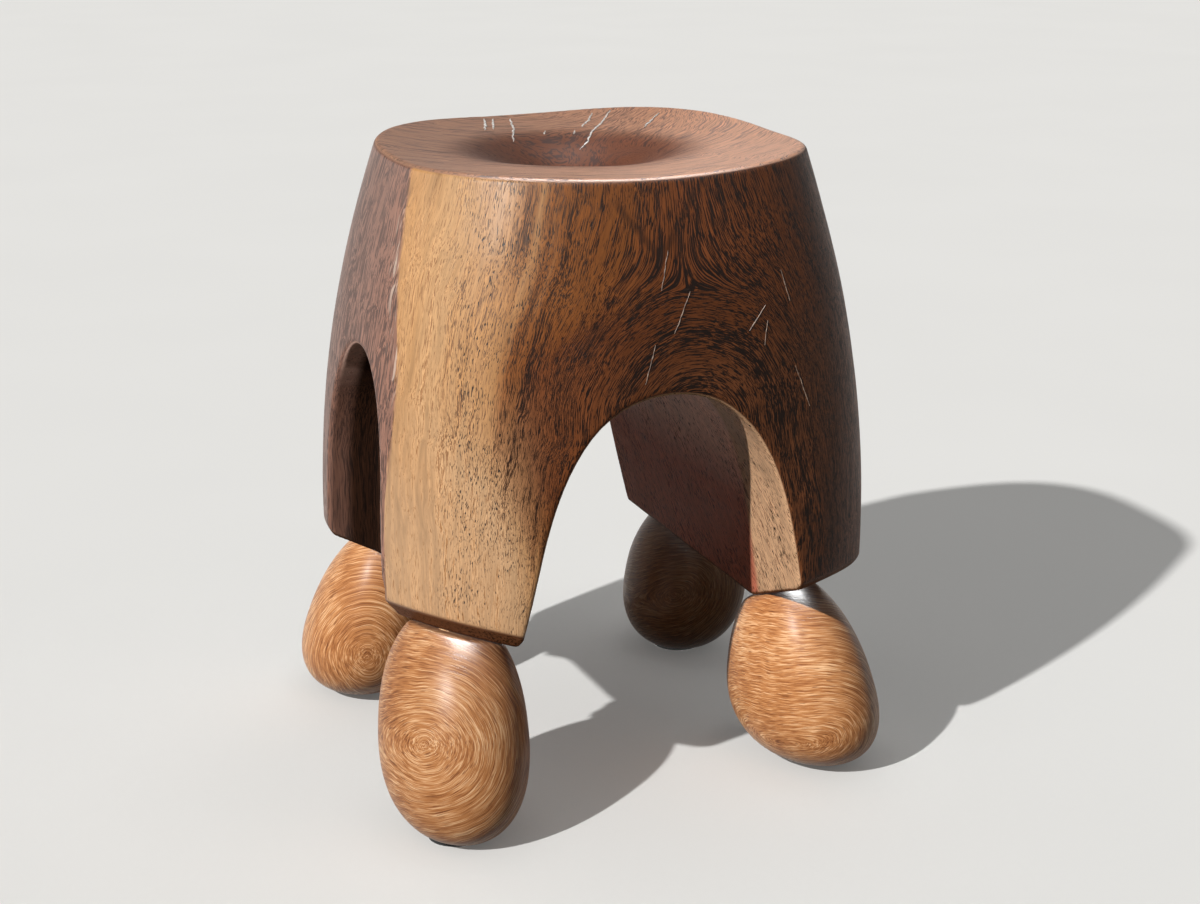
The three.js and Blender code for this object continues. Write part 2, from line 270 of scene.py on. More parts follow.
def eggField(foot):
    seatX, seatY = foot["seat"]
    floorX, floorY = foot["floor"]
    bottom = eggShape["flatHeight"] - eggShape["flatDepth"]
    top = legUndersideAt(foot, seatX, seatY) + foot["tipCut"]
    turn = math.radians(foot["turn"])
    exponent = eggShape["profileExponent"]

    def field(points):
        x, y, z = points.T
        share = (z - bottom) / (top - bottom)
        offX = x - floorX - share * (seatX - floorX)
        offY = y - floorY - share * (seatY - floorY)
        across = (offX * math.cos(turn) + offY * math.sin(turn)) / foot["half"][0]
        along = (offY * math.cos(turn) - offX * math.sin(turn)) / foot["half"][1]
        level = 2 * share - 1
        girth = np.hypot(across, along) / (1 - foot["taper"] * level)
        egg = ((np.abs(level) ** exponent + girth ** exponent) ** (1 / exponent) - 1) * min(foot["half"])
        egg = meet(egg, eggShape["flatHeight"] - z, eggShape["softness"])
        under = (z - legUndersideAt(foot, x, y)) * math.cos(math.radians(foot["tilt"])) + eggShape["seatGap"]
        return meet(egg, under, eggShape["softness"])
    return field


def settle(points, field, rounds=4, probe=0.2, longest=2, leastSlope=0.1):
    # Moves points onto the zero surface of a field
    for _ in range(rounds):
        value = field(points)
        slope = np.stack([(field(points + probe * axis) - value) / probe for axis in np.eye(3)], 1)
        move = -(value / np.maximum((slope ** 2).sum(1), leastSlope))[:, None] * slope
        length = np.linalg.norm(move, axis=1, keepdims=True)
        points = points + move * np.minimum(1, longest / np.maximum(length, 1e-9))
    return points


def relax(mesh, points, rounds):  # evens out the mesh: each corner goes half way to its neighbours' middle
    edges = np.zeros(len(mesh.edges) * 2, np.int32)
    mesh.edges.foreach_get("vertices", edges)
    a, b = edges.reshape(-1, 2).T
    count = np.bincount(np.concatenate([a, b]), minlength=len(points))[:, None]
    for _ in range(rounds):
        total = np.zeros_like(points)
        for axis in range(3):
            total[:, axis] = (np.bincount(a, points[b, axis], len(points))
                              + np.bincount(b, points[a, axis], len(points)))
        points = points + 0.5 * (total / count - points)
    return points


def voxelMesh(mesh, voxel):  # the same solid as an even mesh
    rough = placed("rough", mesh)
    remesh = rough.modifiers.new("voxels", "REMESH")
    remesh.mode = "VOXEL"
    remesh.voxel_size = voxel * mm
    even = bpy.data.meshes.new_from_object(rough.evaluated_get(bpy.context.evaluated_depsgraph_get()))
    bpy.data.objects.remove(rough)
    return even


def bodyPoints(mesh):  # the mesh's corners, in millimetres from the body's middle
    points = np.zeros(len(mesh.vertices) * 3)
    mesh.vertices.foreach_get("co", points)
    return points.reshape(-1, 3) / mm - bodyShape["middle"]


def plugged(mesh, field, depth):  # closes the peg holes: only their walls lie deep inside the field
    hole = field(bodyPoints(mesh)) < -depth
    editing = bmesh.new()
    editing.from_mesh(mesh)
    inHole = [corner for corner in editing.verts if hole[corner.index]]
    bmesh.ops.delete(editing, geom=inHole, context="VERTS")
    bmesh.ops.holes_fill(editing, edges=[edge for edge in editing.edges if edge.is_boundary])
    editing.to_mesh(mesh)
    editing.free()
    return mesh


fine = {"holeDepth": 1.5, "relaxRounds": (3, 2)}  # the hole's depth is in voxels


def finePiece(name, node, voxel, field, handWork, seed):  # a smooth, hand-worked piece in a CAD node's place
    mesh = voxelMesh(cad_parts[node].data.copy(), voxel)
    mesh = voxelMesh(plugged(mesh, field, fine["holeDepth"] * voxel), voxel)
    middle = bodyShape["middle"]
    points = bodyPoints(mesh)
    for rounds in fine["relaxRounds"]:
        points = settle(relax(mesh, points, rounds), field)
    mesh.vertices.foreach_set("co", ((points + middle) * mm).ravel())
    mesh.update()
    normals = np.zeros(len(points) * 3)
    mesh.vertices.foreach_get("normal", normals)
    normals = normals.reshape(-1, 3)
    for length, depth in handWork:
        wave = np.array([noise.noise(Vector(p / length) + Vector((seed, 0, 0))) for p in points])
        points = points + normals * (depth * (np.clip(wave, -1, 1) - 1) / 2)[:, None]
    mesh.vertices.foreach_set("co", ((points + middle) * mm).ravel())
    mesh.polygons.foreach_set("use_smooth", np.ones(len(mesh.polygons), bool))
    mesh.update()
    piece = placed(name, mesh)
    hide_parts(node)
    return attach(piece, "root")


# Oiled raintree wood: one log, golden sapwood at the front left corner that darkens through mottled brown to
# near-black figured heartwood. Open pores show as short dark dashes, and the oil leaves a satin sheen.
# Lengths are in millimetres. Most pairs and fours of numbers are a range's ends and what they give.

bodyWood = {
    "ior": 1.5,
    "logNarrowing": (180, 313000),  # the fibres follow the barrel: its widest height, and how fast it narrows
    "strays": ((95, 16), (24, 2.5)),  # how far apart and how far the grain strays from its line
    "swirl": {"centre": (13, 0, 282), "radius": 90, "below": 0.32, "flare": (110, 170, 0.18, 0),
              "tightness": 3.2},
    "flame": {"tip": (-6, 395), "slope": 1.3, "line": (1, 7, 0.5, 0), "reach": (24, 32, 1, 0),
              "colour": "#26170f"},
    "fibre": (0.6, 0.9, 12),  # across, deep and along, as for the sizes below
    "streak": (1.7, 4, 45),
    "band": (9, 30, 190),
    "pore": {"size": (0.75, 0.9, 4),  # real pores are half as wide; drawn as coarse as they need to show
             "cluster": 25, "drift": (0.35, 0.65, 0.75, 0.6), "open": (0, 0.06), "zone": (-40, 0),
             "colour": "#21150f"},
    "leftScale": (0.9, 0.5, 0.4),  # the grain is broader there
    "seatScale": (0.8, 0.5, 0.3),
    "seatSweep": (-2.4, -0.0035),  # how the seat's lines dip with the dish, and how they bow
    "wallGrain": {"slant": 40, "scale": (0.4, 1, 0.7)},
    "facing": {"up": (0.6, 0.8), "inward": (-0.3, -0.6), "down": (-0.2, -0.5), "edge": (0.35, 0.6),
               "rimWearAndHighlight": (0.62, 0.78), "aboveRimBand": (0.82, 0.93)},
    "roundLog": {"across": (0.7071, -0.7071, 0), "behind": (0.8, 0.8, 0), "start": 6.4},
    "arris": {"place": -72,  # where the golden sapwood meets the left face, measured round the log
              "wanderHeight": 300, "wander": (0, 90, -9, 0), "wobble": (0, 1, -4, 4), "softness": 2},
    "tones": [(-74, "#b3824f", "#84592f"), (-30, "#bb9165", "#7d5531"), (15, "#ae7c4a", "#5a3c26"),
              (45, "#865026", "#382110"), (75, "#7f4a24", "#22130b"), (110, "#744022", "#1a0e08"),
              (180, "#7d4829", "#1a0f0a"), (320, "#955d3c", "#22150e")],
    "mottle": (0, 1, -32, 32),  # what shifts the tones round the log: the bands, and the five ranges below
    "darker": (375, 305, 0, 95),
    "pastGold": (5, 55),
    "golder": (290, 175, 0, -118),
    "byArch": (45, 75, 1, 0.45),
    "atBack": (20, 110, 0, 150),
    "lowGold": {"colour": "#bd9772", "height": (340, 200, 0, 0.75), "zone": (60, 20)},
    "leftFace": ("#8c6250", "#4c3228"),
    "leftFade": (-60, 130, 1, 0.5),  # the left face darkens towards the back
    "archBurn": {"centre": (25, 0, 300), "radius": (50, 105, 0.62, 1)},
    # pale streaks beside the arris: partly handling wear, partly a painted highlight
    "arrisWearAndHighlight": {"size": (1.1, 2, 16), "streaks": (0.53, 0.64), "beside": (15, 3), "from": (285, 310),
             "to": (425, 400, 0, 0.75), "colour": "#c3aa98"},
    # the niches' tones are painted shade: the niches are drawn much darker than the wood they are cut in
    "niche": {"tones": ("#442b1e", "#1a0f0a"), "outer": (170, 160), "inner": 134, "middle": -17,
              "halfWidth": (64, 60)},
    "endGrain": {"tones": ("#6c452d", "#33200f"), "height": (210, 190)},
    # the inner walls' lit tones are their own wood; the deep tones are painted shade that starts at the sun's
    # shadow edge, traced by edge and edgeSlope; the upper tones are a painted sheen under the crown
    "innerWall": {"lit": ("#cba17c", "#684632"), "deep": ("#b86c53", "#552a20"),
                  "upper": ("#ecc0ac", "#b58a7a"), "edge": (-90, -80), "edgeSlope": 0.11,
                  "upperHeight": (190, 250)},
    "seat": ("#a06e4f", "#4a2d1f"),
    "seatToneAndSheen": {"heading": (0.75, -0.5, 0), "tone": (-90, 90, 0.8, 1.52)},  # paler from far left to near right: partly the seat's own paler wood, partly painted sheen
    # the bowl's tones are painted shade: the dish is drawn darker towards its middle in place of the shade a
    # deeper dish would take
    "bowl": {"centre": (-4, -1, 0), "radius": (104, 64), "tones": ("#5f331c", "#28120a")},
    "threads": {"share": (0, 0.5, 0.38, 0.5), "left": 0.47, "seat": 0.46, "wall": 0.4,
                "varies": (0.3, 0.7, -0.07, 0.07), "softness": (-0.06, 0.05)},
    "clouds": {"streak": (0.3, 0.7, 0.76, 1.2), "band": (0.3, 0.7, 0.82, 1.18)},
    # a pale band round the rim's edge: partly rubbing wear, partly a painted highlight
    "rimWearAndHighlight": {"share": 0.12, "colour": "#c4a68c"},
    "relief": (0.35, 0.25),
    "roughness": (0, 1, 0.4, 0.52),
    "polish": {"log": (0.05, 0.4, 0.42, 0.07),  # the specular level, from the gold to the dark heartwood
               "seat": (1.25, 1.6, 0.05, 0.15), "bowl": 0.02, "niche": 0.07, "wall": 0.01},
}


def streaks(tree, grain, size, detail=3.0):  # noise drawn out along the grain, sizes in mm
    scaled = addNode(tree, "VectorMath", "MULTIPLY", [grain, [1 / side for side in size]])
    return addNode(tree, "TexNoise", None,
                   {"Vector": scaled, "Scale": 1.0, "Detail": detail, "Roughness": 0.6})


def strayed(tree, place, strays):  # the place, pushed about by slow noise
    for apart, far in strays:
        push = addNode(tree, "TexNoise", None, {"Vector": place, "Scale": 1 / apart, "Detail": 2.0}, "Color")
        push = addNode(tree, "VectorMath", "SUBTRACT", [push, (0.5, 0.5, 0.5)])
        place = addNode(tree, "VectorMath", "MULTIPLY_ADD", [push, (far, far, far), place])
    return place


def partingGrain(tree, bent, swirl):  # fibres that part over the arch, as a stream parts round a stone
    off = addNode(tree, "VectorMath", "SUBTRACT", [bent, swirl["centre"]])
    off = addNode(tree, "SeparateXYZ", None, [off]).node.outputs
    below = addNode(tree, "Math", "MINIMUM", [off["Z"], 0.0])
    above = addNode(tree, "Math", "MAXIMUM", [off["Z"], 0.0])
    side = addNode(tree, "Math", "SIGN", [off["X"]])
    far = addNode(tree, "Math", "ABSOLUTE", [off["X"]])
    flare = addNode(tree, "MapRange", None, [far, *swirl["flare"]])
    flare = addNode(tree, "Math", "MULTIPLY", [flare, below])
    across = addNode(tree, "Math", "MULTIPLY_ADD", [side, flare, off["X"]])
    lower = addNode(tree, "Math", "MULTIPLY", [below, swirl["below"]])
    spoke = addNode(tree, "CombineXYZ", None, [across, above, lower])
    radius = addNode(tree, "VectorMath", "LENGTH", [spoke], "Value")
    share = addNode(tree, "Math", "DIVIDE", [swirl["radius"], radius])
    share = addNode(tree, "Math", "POWER", [share, swirl["tightness"]])
    share = addNode(tree, "Math", "MINIMUM", [share, 1.0])
    outside = addNode(tree, "Math", "SUBTRACT", [1.0, share])
    outside = addNode(tree, "Math", "MULTIPLY", [across, outside])
    inside = addNode(tree, "Math", "SUBTRACT", [swirl["radius"], radius])
    ring = addNode(tree, "Math", "MAXIMUM", [inside, 0.0])
    line = addNode(tree, "Math", "ADD", [outside, ring])
    stretch = addNode(tree, "Math", "ADD", [1.0, share])
    upward = addNode(tree, "Math", "MULTIPLY", [off["Z"], stretch])
    angle = addNode(tree, "Math", "ARCTAN2", [across, above])
    around = addNode(tree, "Math", "MULTIPLY", [angle, radius])
    around = addNode(tree, "Math", "SUBTRACT", [around, below])
    within = addNode(tree, "Math", "GREATER_THAN", [inside, 0.0])
    along = addNode(tree, "Mix", None, {0: within, 2: upward, 3: around})
    return addNode(tree, "CombineXYZ", None, [line, off["Y"], along])


def oiledRaintree():
    material, tree = newMaterial("oiledRaintreeHeartwood")
    wood = bodyWood
    facings = wood["facing"]
    place = addNode(tree, "VectorMath", "SCALE", {0: objectPlace(tree), "Scale": 1 / mm})
    at = addNode(tree, "SeparateXYZ", None, [place]).node.outputs
    normal = addNode(tree, "TexCoord", out="Normal")
    facing = addNode(tree, "SeparateXYZ", None, [normal]).node.outputs
    widest, narrowing = wood["logNarrowing"]
    rise = addNode(tree, "Math", "SUBTRACT", [at["Z"], widest])
    rise = addNode(tree, "Math", "POWER", [rise, 2.0])
    girth = addNode(tree, "Math", "MULTIPLY_ADD", [rise, -1 / narrowing, 1.0])
    girth = addNode(tree, "CombineXYZ", None, [girth, girth, 1.0])
    log = addNode(tree, "VectorMath", "DIVIDE", [place, girth])
    bent = strayed(tree, log, wood["strays"])
    grain = partingGrain(tree, bent, wood["swirl"])
    onSeat = addNode(tree, "MapRange", smoothStep, [facing["Z"], *facings["up"]])
    notSeat = addNode(tree, "Math", "SUBTRACT", [1.0, onSeat])

    # How far round the log a point is, counted from the front left corner
    course, arris = wood["roundLog"], wood["arris"]
    across = addNode(tree, "VectorMath", "DOT_PRODUCT", [place, course["across"]], "Value")
    behind = addNode(tree, "VectorMath", "DOT_PRODUCT", [bent, course["behind"]], "Value")
    behind = addNode(tree, "Math", "MAXIMUM", [behind, 0.0])
    roundLog = addNode(tree, "Math", "ADD", [across, behind])
    roundLog = addNode(tree, "Math", "SUBTRACT", [roundLog, course["start"]])
    wander = apart(tree, at["Z"], arris["wanderHeight"])
    wander = addNode(tree, "MapRange", smoothStep, [wander, *arris["wander"]])
    pastArris = addNode(tree, "Math", "ADD", [roundLog, wander])
    onLeft = addNode(tree, "Math", "LESS_THAN", [pastArris, arris["place"]])
    onLeft = addNode(tree, "Math", "MULTIPLY", [onLeft, notSeat])
    broader = addNode(tree, "VectorMath", "MULTIPLY", [grain, wood["leftScale"]])
    grain = addNode(tree, "Mix", vectorMix, {0: onLeft, 4: grain, 5: broader}, 1)

    # The seat's cut runs across the log, so its lines dip round the bowl and rise at both sides
    dips, bows = wood["seatSweep"]
    seatPlace = strayed(tree, place, wood["strays"])
    seatAt = addNode(tree, "SeparateXYZ", None, [seatPlace]).node.outputs
    dip = addNode(tree, "Math", "MULTIPLY_ADD", [seatAt["Z"], dips, seatAt["Y"]])
    bow = addNode(tree, "Math", "POWER", [seatAt["X"], 2.0])
    sweep = addNode(tree, "Math", "MULTIPLY_ADD", [bow, bows, dip])
    seatGrain = addNode(tree, "CombineXYZ", None, [sweep, seatAt["Z"], seatAt["X"]])
    seatGrain = addNode(tree, "VectorMath", "MULTIPLY", [seatGrain, wood["seatScale"]])
    grain = addNode(tree, "Mix", vectorMix, {0: onSeat, 4: grain, 5: seatGrain}, 1)

    # The arch's inner walls are cut at a slant to the fibres
    side = addNode(tree, "Math", "SIGN", [at["X"]])
    far = addNode(tree, "SeparateXYZ", None, [log], "X")
    far = addNode(tree, "Math", "ABSOLUTE", [far])
    inward = addNode(tree, "Math", "MULTIPLY", [side, facing["X"]])
    inward = addNode(tree, "Math", "MINIMUM", [inward, facing["Z"]])
    inward = addNode(tree, "MapRange", smoothStep, [inward, *facings["inward"]])
    slant = math.radians(wood["wallGrain"]["slant"])
    wallGrain = addNode(tree, "Mapping", None,
                        {"Vector": log, "Rotation": (slant, 0, 0), "Scale": wood["wallGrain"]["scale"]})
    grain = addNode(tree, "Mix", vectorMix, {0: inward, 4: grain, 5: wallGrain}, 1)

    fibres = streaks(tree, grain, wood["fibre"])
    broadStreaks = streaks(tree, grain, wood["streak"])
    bands = streaks(tree, grain, wood["band"], detail=2.0)
    pore = wood["pore"]
    pores = streaks(tree, grain, pore["size"], detail=0.0)
    clusters = addNode(tree, "TexNoise", None, {"Vector": place, "Scale": 1 / pore["cluster"], "Detail": 2.0})

    # How deep in the log a point is, from gold to dark heartwood
    darker = addNode(tree, "MapRange", smoothStep, [at["Z"], *wood["darker"]])
    pastGold = addNode(tree, "MapRange", smoothStep, [roundLog, *wood["pastGold"]])
    darker = addNode(tree, "Math", "MULTIPLY", [darker, pastGold])
    golder = addNode(tree, "MapRange", smoothStep, [at["Z"], *wood["golder"]])
    byArch = addNode(tree, "MapRange", smoothStep, [roundLog, *wood["byArch"]])
    golder = addNode(tree, "Math", "MULTIPLY", [golder, byArch])
    atBack = addNode(tree, "MapRange", smoothStep, [at["Y"], *wood["atBack"]])
    mottle = addNode(tree, "MapRange", None, [bands, *wood["mottle"]])
    for shift in (darker, golder, atBack):
        mottle = addNode(tree, "Math", "ADD", [mottle, shift])
    depth = addNode(tree, "Math", "ADD", [roundLog, mottle])
    first, last = wood["tones"][0][0], wood["tones"][-1][0]
    depth = addNode(tree, "MapRange", None, [depth, first, last])
    lightStops = [((spot - first) / (last - first), light) for spot, light, dark in wood["tones"]]
    darkStops = [((spot - first) / (last - first), dark) for spot, light, dark in wood["tones"]]
    lightTone = addNode(tree, "ValToRGB", {"stops": lightStops}, [depth])
    darkTone = addNode(tree, "ValToRGB", {"stops": darkStops}, [depth])
    lowGold = wood["lowGold"]
    paler = addNode(tree, "MapRange", smoothStep, [at["Z"], *lowGold["height"]])
    gold = addNode(tree, "MapRange", smoothStep, [roundLog, *lowGold["zone"]])
    paler = addNode(tree, "Math", "MULTIPLY", [paler, gold])
    lightTone = addNode(tree, "Mix", colourMix, {0: paler, 6: lightTone, 7: lowGold["colour"]}, 2)

    # Where the left face, the seat's bowl, the legs' undersides, the arch's inner walls and the niches are
    wobble = addNode(tree, "MapRange", None, [broadStreaks, *arris["wobble"]])
    beyondArris = addNode(tree, "Math", "ADD", [pastArris, wobble])
    arrisSpan = [arris["place"] - arris["softness"], arris["place"] + arris["softness"]]
    beyondArris = addNode(tree, "MapRange", smoothStep, [beyondArris, *arrisSpan])
    hollow = distance(tree, seatPlace, wood["bowl"]["centre"], (1, 1, 0))
    hollow = addNode(tree, "MapRange", smoothStep, [hollow, *wood["bowl"]["radius"]])
    below = addNode(tree, "MapRange", smoothStep, [facing["Z"], *facings["down"]])
    low = addNode(tree, "MapRange", smoothStep, [at["Z"], *wood["endGrain"]["height"]])
    below = addNode(tree, "Math", "MULTIPLY", [below, low])
    wall, niche = wood["innerWall"], wood["niche"]
    # past this slanted line the sun's shadow falls on the wall, and its tones turn to painted shade
    deeper = addNode(tree, "Math", "MULTIPLY_ADD", [at["Z"], wall["edgeSlope"], at["Y"]])
    deeper = addNode(tree, "MapRange", smoothStep, [deeper, *wall["edge"]])
    upper = addNode(tree, "MapRange", smoothStep, [at["Z"], *wall["upperHeight"]])
    nicheSide = addNode(tree, "MapRange", smoothStep, [far, *niche["outer"]])
    nicheWidth = apart(tree, at["Y"], niche["middle"])
    nicheWidth = addNode(tree, "MapRange", smoothStep, [nicheWidth, *niche["halfWidth"]])
    outsideArch = addNode(tree, "Math", "GREATER_THAN", [far, niche["inner"]])
    inNiche = nicheSide
    for limit in (nicheWidth, outsideArch, notSeat):
        inNiche = addNode(tree, "Math", "MULTIPLY", [inNiche, limit])

    # Each cut shows tones of its own over the log's: the legs' undersides darker end grain, the niches painted
    # shade, and the seat's bowl painted shade of the dish. The arch's inner walls start in pale wood where the
    # sun falls, turn to painted shade past the sun's shadow edge and carry a painted sheen high under the crown
    layered = []
    for i, tone in enumerate((lightTone, darkTone)):
        wallTone = addNode(tree, "Mix", colourMix, {0: upper, 6: wall["deep"][i], 7: wall["upper"][i]}, 2)
        wallTone = addNode(tree, "Mix", colourMix, {0: deeper, 6: wall["lit"][i], 7: wallTone}, 2)
        seatTone = addNode(tree, "Mix", colourMix,
                           {0: hollow, 6: wood["seat"][i], 7: wood["bowl"]["tones"][i]}, 2)
        tone = addNode(tree, "Mix", colourMix, {0: beyondArris, 6: wood["leftFace"][i], 7: tone}, 2)
        for share, over in ((inward, wallTone), (below, wood["endGrain"]["tones"][i]),
                            (inNiche, niche["tones"][i]), (onSeat, seatTone)):
            tone = addNode(tree, "Mix", colourMix, {0: share, 6: tone, 7: over}, 2)
        layered.append(tone)

    # The deeper into the heartwood, the more of the surface the dark threads take
    threads = wood["threads"]
    threadShare = addNode(tree, "MapRange", None, [depth, *threads["share"]])
    for zone, share in ((onLeft, threads["left"]), (onSeat, threads["seat"]), (inward, threads["wall"])):
        threadShare = addNode(tree, "Mix", None, {0: zone, 2: threadShare, 3: share})
    for lines in (bands, broadStreaks):
        varied = addNode(tree, "MapRange", None, [lines, *threads["varies"]])
        threadShare = addNode(tree, "Math", "ADD", [threadShare, varied])
    thread = addNode(tree, "Math", "SUBTRACT", [threadShare, fibres])
    thread = addNode(tree, "MapRange", smoothStep, [thread, *threads["softness"]])
    colour = addNode(tree, "Mix", colourMix, {0: thread, 6: layered[0], 7: layered[1]}, 2)

    # Light and dark clouds, the left face's fading, the dark over the arch and the seat's pale near side,
    # partly painted sheen
    cloud = addNode(tree, "MapRange", None, [broadStreaks, *wood["clouds"]["streak"]])
    bandCloud = addNode(tree, "MapRange", None, [bands, *wood["clouds"]["band"]])
    leftLight = addNode(tree, "MapRange", None, [at["Y"], *wood["leftFade"]])
    leftLight = addNode(tree, "Mix", None, {0: onLeft, 2: 1.0, 3: leftLight})
    burn = distance(tree, place, wood["archBurn"]["centre"], (1, 0, 1))
    burn = addNode(tree, "MapRange", smoothStep, [burn, *wood["archBurn"]["radius"]])
    burn = addNode(tree, "Mix", None, {0: inward, 2: burn, 3: 1.0})
    seatToneAndSheen = addNode(tree, "VectorMath", "DOT_PRODUCT",
                        [place, wood["seatToneAndSheen"]["heading"]], "Value")
    seatToneAndSheen = addNode(tree, "MapRange", None, [seatToneAndSheen, *wood["seatToneAndSheen"]["tone"]])
    seatToneAndSheen = addNode(tree, "Mix", None, {0: onSeat, 2: 1.0, 3: seatToneAndSheen})
    for factor in (bandCloud, leftLight, burn, seatToneAndSheen):
        cloud = addNode(tree, "Math", "MULTIPLY", [cloud, factor])
    colour = addNode(tree, "VectorMath", "SCALE", {0: colour, "Scale": cloud})

    # Pores lie in drifts, and there are none in the first strip of sapwood
    drift = addNode(tree, "MapRange", None, [clusters, *pore["drift"]])
    openPore = addNode(tree, "Math", "SUBTRACT", [pores, drift])
    openPore = addNode(tree, "MapRange", smoothStep, [openPore, *pore["open"]])
    poreZone = addNode(tree, "MapRange", smoothStep, [roundLog, *pore["zone"]])
    poreZone = addNode(tree, "Math", "MULTIPLY", [poreZone, notSeat])
    openPore = addNode(tree, "Math", "MULTIPLY", [openPore, poreZone])
    colour = addNode(tree, "Mix", colourMix, {0: openPore, 6: colour, 7: pore["colour"]}, 2)

    # Short pale streaks beside the arris: partly handling wear, partly a painted highlight along the arris
    arrisWearAndHighlight = wood["arrisWearAndHighlight"]
    paleArrisStreaks = streaks(tree, grain, arrisWearAndHighlight["size"], detail=2.0)
    paleArrisStreaks = addNode(tree, "MapRange", smoothStep, [paleArrisStreaks, *arrisWearAndHighlight["streaks"]])
    besideArris = [arris["place"] - far for far in arrisWearAndHighlight["beside"]]
    nearArris = addNode(tree, "MapRange", smoothStep, [pastArris, *besideArris])
    arrisStreaksFrom = addNode(tree, "MapRange", None, [at["Z"], *arrisWearAndHighlight["from"]])
    arrisStreaksTo = addNode(tree, "MapRange", None, [at["Z"], *arrisWearAndHighlight["to"]])
    for limit in (nearArris, onLeft, arrisStreaksFrom, arrisStreaksTo):
        paleArrisStreaks = addNode(tree, "Math", "MULTIPLY", [paleArrisStreaks, limit])
    colour = addNode(tree, "Mix", colourMix, {0: paleArrisStreaks, 6: colour, 7: arrisWearAndHighlight["colour"]}, 2)

    # A dark flame hangs point down over the swirl
    flame = wood["flame"]
    aside = apart(tree, at["X"], flame["tip"][0])
    level = addNode(tree, "SeparateXYZ", None, [bent], "Z")
    level = addNode(tree, "Math", "SUBTRACT", [level, flame["tip"][1]])
    level = addNode(tree, "Math", "MULTIPLY_ADD", [aside, -flame["slope"], level])
    level = addNode(tree, "Math", "ABSOLUTE", [level])
    flameLine = addNode(tree, "MapRange", smoothStep, [level, *flame["line"]])
    flameEnd = addNode(tree, "MapRange", smoothStep, [aside, *flame["reach"]])
    for limit in (flameEnd, notSeat):
        flameLine = addNode(tree, "Math", "MULTIPLY", [flameLine, limit])
    colour = addNode(tree, "Mix", colourMix, {0: flameLine, 6: colour, 7: flame["colour"]}, 2)

    # The rim's edge is drawn pale: partly rubbing wear, partly a painted highlight along the rim
    rimWearAndHighlight = addNode(tree, "MapRange", smoothStep, [facing["Z"], *facings["rimWearAndHighlight"]])
    aboveRimBand = addNode(tree, "MapRange", smoothStep, [facing["Z"], *facings["aboveRimBand"]])
    rimWearAndHighlight = addNode(tree, "Math", "SUBTRACT", [rimWearAndHighlight, aboveRimBand])
    rimWearAndHighlight = addNode(tree, "Math", {"operation": "MULTIPLY", "use_clamp": True},
                     [rimWearAndHighlight, wood["rimWearAndHighlight"]["share"]])
    colour = addNode(tree, "Mix", colourMix, {0: rimWearAndHighlight, 6: colour, 7: wood["rimWearAndHighlight"]["colour"]}, 2)

    # Hands and seats have polished the gold and the seat's edge; the dark wood and the hollows are duller
    shine = wood["polish"]
    polish = addNode(tree, "MapRange", smoothStep, [depth, *shine["log"]])
    seatPolish = addNode(tree, "MapRange", None, [seatToneAndSheen, *shine["seat"]])
    seatPolish = addNode(tree, "Mix", None, {0: hollow, 2: seatPolish, 3: shine["bowl"]})
    onRim = addNode(tree, "MapRange", smoothStep, [facing["Z"], *facings["edge"]])
    for zone, level in ((onRim, seatPolish), (inNiche, shine["niche"]), (inward, shine["wall"])):
        polish = addNode(tree, "Mix", None, {0: zone, 2: polish, 3: level})
    relief = addNode(tree, "Math", "MULTIPLY_ADD", [openPore, -1.0, fibres])
    rough = addNode(tree, "MapRange", None, [thread, *wood["roughness"]])
    coat(tree, colour, rough, relief, wood["relief"], {"IOR": wood["ior"], "Specular IOR Level": polish})
    return material


# Oiled rootwood: orange-brown end grain, rings close together, a soft shine from handling

eggWood = {
    "ior": 1.5,
    "shine": 0.16,
    "roughness": 0.34,
    "relief": (0.25, 0.2),
    "strays": ((34, 6), (9, 0.7)),
    "ring": 0.55,
    "ringDepth": 14,  # how far along the heart a ring keeps its look
    "dashes": 3.125,  # how many breaks a ring has for each radian
    "rings": (0.3, 0.7, -0.15, 0.38),
    "years": {"scale": (0.28, 0.4, 0.4), "share": 0.5},
    "pores": {"scale": (1.1, 1.6, 1.6), "open": (0.64, 0.72), "share": 0.7, "colour": "#6a3c22"},
    "blotch": {"size": 38, "share": 0.4},
    "hearts": {  # where each egg's heart line lies, its lean in degrees, and a brightness gain that is painted light and shade
        "front_left": ((-178, -190, 84), (8, 14), 1.0), "front_right": ((108, -160, 30), (-30, 10), 1.25),
        "back_left": ((-150, 60, 60), (20, 30), 1.2), "back_right": ((120, 90, 60), (-10, 20), 0.8)},
    "tones": [(0.15, "#40210f"), (0.4, "#8a5530"), (0.6, "#ac7547"), (0.85, "#d5ad84")],
}


